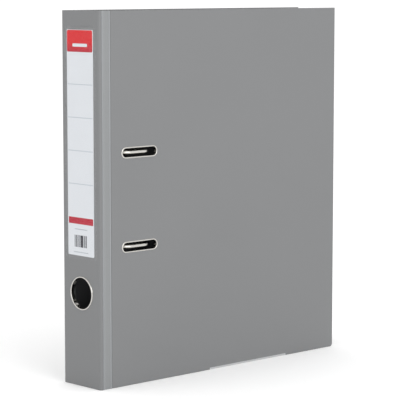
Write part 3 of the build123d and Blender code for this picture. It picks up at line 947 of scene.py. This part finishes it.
def make_rivets(nickel):
    """The four rivets, each with a low dome outside and a turned-over head on the base plate."""
    low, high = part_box("base_rivets")
    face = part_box("rear_cover_foil")[1].y
    reach = RIVET_RADIUS * MM
    profile = [
        (0, 0.5), (1.6, 0.49), (3.0, 0.42), (4.0, 0.25), (RIVET_RADIUS, 0.0), (1.8, 0.0), (1.8, -3.6),
        (3.5, -3.6), (3.45, -3.95), (3.0, -4.25), (2.0, -4.38), (0, -4.4),
    ]
    rivets = []
    for x in (low.x + reach, high.x - reach):
        for z in (low.z + reach, high.z - reach):
            rivets.append(turned("rivet", profile, Vector((x, face, z)), Y_AXIS, 32))
    finished(joined("base_rivets_domed", rivets), "rear_cover", nickel, ("base_rivets",), 40)


def headed_pin(node, name, radius, head, body, nickel):
    """A pin along Z with a low domed head at each end."""
    low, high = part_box(node)
    half = (high.z - low.z) / 2 / MM
    wide = (high.x - low.x) / 2 / MM
    profile = [
        (0, -half), (wide - 0.5, -half), (wide - 0.1, -half + 0.25), (wide, -half + head),
        (radius, -half + head), (radius, half - head), (wide, half - head), (wide - 0.1, half - 0.25),
        (wide - 0.5, half), (0, half),
    ]
    pin = turned(name, profile, (low + high) / 2, Z_AXIS, 24)
    return finished(pin, body, nickel, (node,), 40)


def lever_web(low, high, rear_x, grip_x):
    """The lever's flat web with its curled grip, thickened from a bent sheet."""
    edge_low, edge_high = low.z + CHEEK_INSET * MM, high.z - CHEEK_INSET * MM
    middle_y = low.y + LEVER_STEEL / 2 * MM
    line = [Vector((rear_x, middle_y, edge_low)), Vector((grip_x, middle_y, edge_low))]
    bend = (GRIP_CURL - LEVER_STEEL / 2) * MM
    curl_y = low.y + GRIP_CURL * MM
    for step in range(1, 11):
        angle = step * math.pi / 10
        line.append(Vector((grip_x - bend * math.sin(angle), curl_y - bend * math.cos(angle), edge_low)))
    web = outline("lever_bent", line)
    to_edit(web)
    select_whole()
    bpy.ops.mesh.extrude_region_move(TRANSFORM_OT_translate={"value": (0, 0, edge_high - edge_low)})
    select_whole()
    bpy.ops.mesh.normals_make_consistent(inside=False)
    to_object()
    only(web)
    step = web.modifiers.new("steel", "SOLIDIFY")
    step.thickness = LEVER_STEEL * MM
    step.offset = 0
    bpy.ops.object.modifier_apply(modifier=step.name)
    side = lambda edge: near(middle(edge).z, edge_low) or near(middle(edge).z, edge_high)
    return round_edges(web, lambda edge: along(edge, X_AXIS) or side(edge), 0.2 * MM, 2)


def make_lever(nickel):
    """The lever: two cheeks under a flat web that ends in a curled grip."""
    low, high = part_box("lever")
    steel, inset = LEVER_STEEL * MM, CHEEK_INSET * MM
    pivot, roller = joint_place("lever_lift"), joint_place("roller_spin")
    grip_x = low.x + GRIP_CURL * MM
    nose_x = grip_x + NOSE_FROM_GRIP * MM
    rear_x = pivot.x - REAR_FROM_PIVOT * MM
    parts = [lever_web(low, high, rear_x, grip_x)]
    discs = [
        (pivot.x, pivot.y, PIVOT_EYE * MM),
        (roller.x, roller.y, ROLLER_EYE * MM),
        (nose_x, low.y + 2 * steel, steel),
        (rear_x, low.y + 2 * steel, steel),
    ]
    for start in (low.z, high.z - steel):
        parts.append(sheet_piece("cheek", discs, start, steel))
    for start in (low.z, high.z - inset):
        parts.append(block("flange", (nose_x, low.y, start), (rear_x, low.y + steel, start + inset)))
    finished(joined("lever_bent", parts), "lever_arm", nickel, ("lever",), 40)


def make_roller(nickel):
    """The turned roller, with soft rims and a bore for its pin."""
    low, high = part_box("lever_roller")
    half = (high.z - low.z) / 2 / MM
    wide = (high.x - low.x) / 2 / MM
    profile = [
        (1.6, -half), (wide - 0.5, -half), (wide - 0.12, -half + 0.15), (wide, -half + 0.5),
        (wide, half - 0.5), (wide - 0.12, half - 0.15), (wide - 0.5, half), (1.6, half), (1.6, -half),
    ]
    roller = turned("lever_roller_turned", profile, (low + high) / 2, Z_AXIS, 48)
    return finished(roller, "roller", nickel, ("lever_roller",), 40)


def round_hole(centre, radius):
    """The cutter for a hole along Y, with its radius in millimetres."""
    return turned("cutter", [(0, -6), (radius, -6), (radius, 6), (0, 6)], centre, Y_AXIS, 32)


def make_bar(plastic):
    """The compressor bar: a flat moulded bar with round corners, a rib and two post holes."""
    low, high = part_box("compressor_bar")
    top = high.y - BAR_THICKNESS * MM
    bar = block("compressor_bar_moulded", (low.x, top, low.z), high)
    round_edges(bar, lambda edge: along(edge, Y_AXIS), CORNER_ROUND * MM, 6)
    round_edges(bar, lambda edge: near(edge.verts[0].co.y, edge.verts[1].co.y), 0.3 * MM, 2)
    lower, upper = box_middle("lower_post"), box_middle("upper_post")
    for post in (lower, upper):
        cut(bar, round_hole(Vector((post.x, high.y, post.z)), BAR_HOLE_RADIUS))
    half_width, from_post = 3.5 * MM, 11 * MM
    rib_low = (lower.x - half_width, low.y, lower.z + from_post)
    rib = block("rib", rib_low, (lower.x + half_width, top + 0.5 * MM, upper.z - from_post))
    round_edges(rib, lambda edge: along(edge, Y_AXIS), 1.6 * MM, 4)
    round_edges(rib, lambda edge: lies(edge, "y", low.y), 0.9 * MM, 4)
    bar = joined("compressor_bar_moulded", [bar, rib])
    finished(bar, "compressor", plastic, ("compressor_bar",))


def make_clips(steel):
    """The two spring clips on the bar, each with a tab to pinch."""
    low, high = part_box("compressor_clips")
    sheet = CLIP_STEEL * MM
    half = 5.5 * MM
    parts = []
    for node in ("lower_post", "upper_post"):
        post = box_middle(node)
        clip = block("clip", (low.x, high.y - sheet, post.z - half), (high.x, high.y, post.z + half))
        round_edges(clip, lambda edge: along(edge, Y_AXIS) and middle(edge).x < post.x, 1.5 * MM, 4)
        to_edit(clip)
        select_whole()
        bpy.ops.mesh.bisect(plane_co=(high.x - sheet, 0, 0), plane_no=(1, 0, 0))
        pick(clip, "FACE", lambda face: face.normal.y < -0.9 and middle(face).x > high.x - sheet)
        bpy.ops.mesh.extrude_region_move(TRANSFORM_OT_translate={"value": (0, low.y - high.y + sheet, 0)})
        to_object()
        parts.append(cut(clip, round_hole(Vector((post.x, high.y, post.z)), CLIP_HOLE_RADIUS)))
    clips = joined("compressor_clips_sprung", parts)
    finished(clips, "compressor", steel, ("compressor_clips",))


# ---- stage ----


def soft_light(name, place, aim, size, power):
    """A large soft studio light that faces a point."""
    bpy.ops.object.light_add(type="AREA", location=place)
    lamp = bpy.context.object
    lamp.name = name
    lamp.data.size = size
    lamp.data.energy = power
    lamp.rotation_euler = (Vector(aim) - Vector(place)).to_track_quat("-Z", "Y").to_euler()
    return lamp


class FILE_OT_stage(bpy.types.Operator):
    """Sets up the floor, soft lights and camera"""

    bl_idname = "lever_file.stage"
    bl_label = "Stage"

    def execute(self, context):
        scene = context.scene
        scene.view_settings.view_transform = "Standard"
        bpy.ops.mesh.primitive_plane_add(size=12, location=(0, 0, 0))
        floor = settle(context.object, "studio_floor")
        floor.data.materials.append(floor_paint())
        world = bpy.data.worlds.new("studio_air")
        scene.world = world
        world.use_nodes = True
        world.node_tree.nodes["Background"].inputs["Color"].default_value = (1, 1, 1, 1)
        world.node_tree.nodes["Background"].inputs["Strength"].default_value = 1.1
        soft_light("key_softbox", (-0.4, -2.0, 1.0), (0, 0, 0.16), 1.4, 15)
        soft_light("side_softbox", (-1.9, 0.3, 0.9), (0, 0, 0.16), 1.0, 1.5)
        bpy.ops.object.camera_add(location=(-1.1326, -1.2025, 0.3405))
        camera = context.object
        camera.rotation_euler = (math.radians(90 - 6.642), 0, math.radians(-43.156))
        camera.data.lens = 167.62
        camera.data.sensor_width = 36
        camera.data.clip_start = 0.01
        scene.camera = camera
        return {"FINISHED"}


# ---- operators ----


def material(name, maker, *given):
    """Fetches a finish, or makes it the first time it is asked for."""
    return bpy.data.materials.get(name) or maker(*given)


def foil_of(context, kind="embossed", setting="foil", crease_x=None):
    """One of the foils: the covers' unless another kind is asked for."""
    name = kind + "_polypropylene_foil"
    return material(name, embossed_foil, name, getattr(context.scene.file_colours, setting), crease_x)


def nickel_of(context):
    """The fittings' plate."""
    return material("nickel_plated_steel", nickel_plate, context.scene.file_colours.nickel)


def repaint(nodes, finish):
    """Gives the frame's own pieces a finish."""
    for node in nodes:
        piece = frame["nodes"][node]
        for place in piece.material_slots:
            place.material = finish
        if not piece.material_slots:
            piece.data.materials.append(finish)


class FILE_OT_covers(bpy.types.Operator):
    """Makes both foil-covered covers and finishes their linings"""

    bl_idname = "lever_file.covers"
    bl_label = "Covers"

    def execute(self, context):
        for side in ("front", "rear"):
            make_cover(side, context.scene.file_sizes, foil_of(context))
        lining = material("grey_lining_paper", lining_paper, context.scene.file_colours.lining)
        repaint(("front_cover_lining", "rear_cover_lining", "spine_lining"), lining)
        return {"FINISHED"}


class FILE_OT_spine(bpy.types.Operator):
    """Makes the foil-covered spine"""

    bl_idname = "lever_file.spine"
    bl_label = "Spine"

    def execute(self, context):
        make_spine(context.scene.file_sizes, foil_of(context))
        return {"FINISHED"}


class FILE_OT_hinges(bpy.types.Operator):
    """Makes both hinge strips and their four creases"""

    bl_idname = "lever_file.hinges"
    bl_label = "Hinge strips"

    def execute(self, context):
        # the strips' foil is painted paler as a painted highlight on the hinge band, with a stronger
        # painted highlight beside the spine-side crease, and the creases' foil is painted paler still as
        # their painted highlight
        hinge_highlight_paint = foil_of(context, "creased", "hinge_foil", crease_axes("front")[0].x)
        folded = foil_of(context, "folded", "crease_highlight_colour")
        for side in ("front", "rear"):
            make_hinge_strip(side, hinge_highlight_paint)
            for place in (0, 1):
                make_crease(side, place, context.scene.file_sizes, folded)
        board = material("greyboard", grey_board, context.scene.file_colours.board)
        repaint(("front_hinge_board", "rear_hinge_board"), board)
        return {"FINISHED"}


class FILE_OT_fittings(bpy.types.Operator):
    """Makes the finger ring, slot eyelets and edge shoes"""

    bl_idname = "lever_file.fittings"
    bl_label = "Fittings"

    def execute(self, context):
        nickel = nickel_of(context)
        steel = material("drawn_steel_strip", drawn_steel, context.scene.file_colours.steel)
        make_finger_ring(nickel)
        for height in ("lower", "upper"):
            make_eyelet(height, nickel)
        for side in ("front", "rear"):
            make_shoe(side, steel)
        repaint(("finger_ring_washer", "upper_slot_washer", "lower_slot_washer"), nickel)
        return {"FINISHED"}


class FILE_OT_label(bpy.types.Operator):
    """Makes the spine label and its clear pocket"""

    bl_idname = "lever_file.label"
    bl_label = "Spine label"

    def execute(self, context):
        paper = material("coated_label_paper", label_paper, context.scene.file_colours)
        make_label(context.scene.file_sizes, paper)
        make_pocket(material("clear_polypropylene_film", clear_film))
        return {"FINISHED"}


class FILE_OT_mechanism(bpy.types.Operator):
    """Makes the base plate, rivets, posts, arches, lever, roller and compressor bar"""

    bl_idname = "lever_file.mechanism"
    bl_label = "Arch mechanism"

    def execute(self, context):
        nickel = nickel_of(context)
        plastic = material("black_polystyrene", black_polystyrene, context.scene.file_colours.plastic)
        make_base(nickel)
        make_rivets(nickel)
        make_posts(nickel)
        make_arch_wire(context.scene.file_sizes, nickel)
        make_lever(nickel)
        headed_pin("lever_pin", "lever_pin_headed", 2.0, 0.8, "rear_cover", nickel)
        headed_pin("roller_pin", "roller_pin_headed", 1.5, 0.8, "lever_arm", nickel)
        make_roller(nickel)
        make_bar(plastic)
        make_clips(nickel)
        return {"FINISHED"}


class FILE_PT_panel(bpy.types.Panel):
    """Lists the file's pieces and settings"""

    bl_idname = "FILE_PT_panel"
    bl_label = "Lever Arch File"
    bl_space_type = "VIEW_3D"
    bl_region_type = "UI"
    bl_category = "Lever Arch File"

    def draw(self, context):
        for operator in OPERATORS:
            self.layout.operator(operator.bl_idname)
        for group in (context.scene.file_sizes, context.scene.file_colours):
            column = self.layout.column(align=True)
            for name in group.__annotations__:
                column.prop(group, name)


OPERATORS = (
    FILE_OT_stage,
    FILE_OT_covers,
    FILE_OT_spine,
    FILE_OT_hinges,
    FILE_OT_fittings,
    FILE_OT_label,
    FILE_OT_mechanism,
)
CLASSES = (FileColours, FileSizes, *OPERATORS, FILE_PT_panel)


def register():
    for each in CLASSES:
        bpy.utils.register_class(each)
    bpy.types.Scene.file_colours = bpy.props.PointerProperty(type=FileColours)
    bpy.types.Scene.file_sizes = bpy.props.PointerProperty(type=FileSizes)


def unregister():
    del bpy.types.Scene.file_sizes
    del bpy.types.Scene.file_colours
    for each in reversed(CLASSES):
        bpy.utils.unregister_class(each)


def main():
    """Builds every piece in order."""
    register()
    bpy.ops.lever_file.stage()
    bpy.ops.lever_file.covers()
    bpy.ops.lever_file.spine()
    bpy.ops.lever_file.hinges()
    bpy.ops.lever_file.fittings()
    bpy.ops.lever_file.label()
    bpy.ops.lever_file.mechanism()


if __name__ == "__main__":
    main()
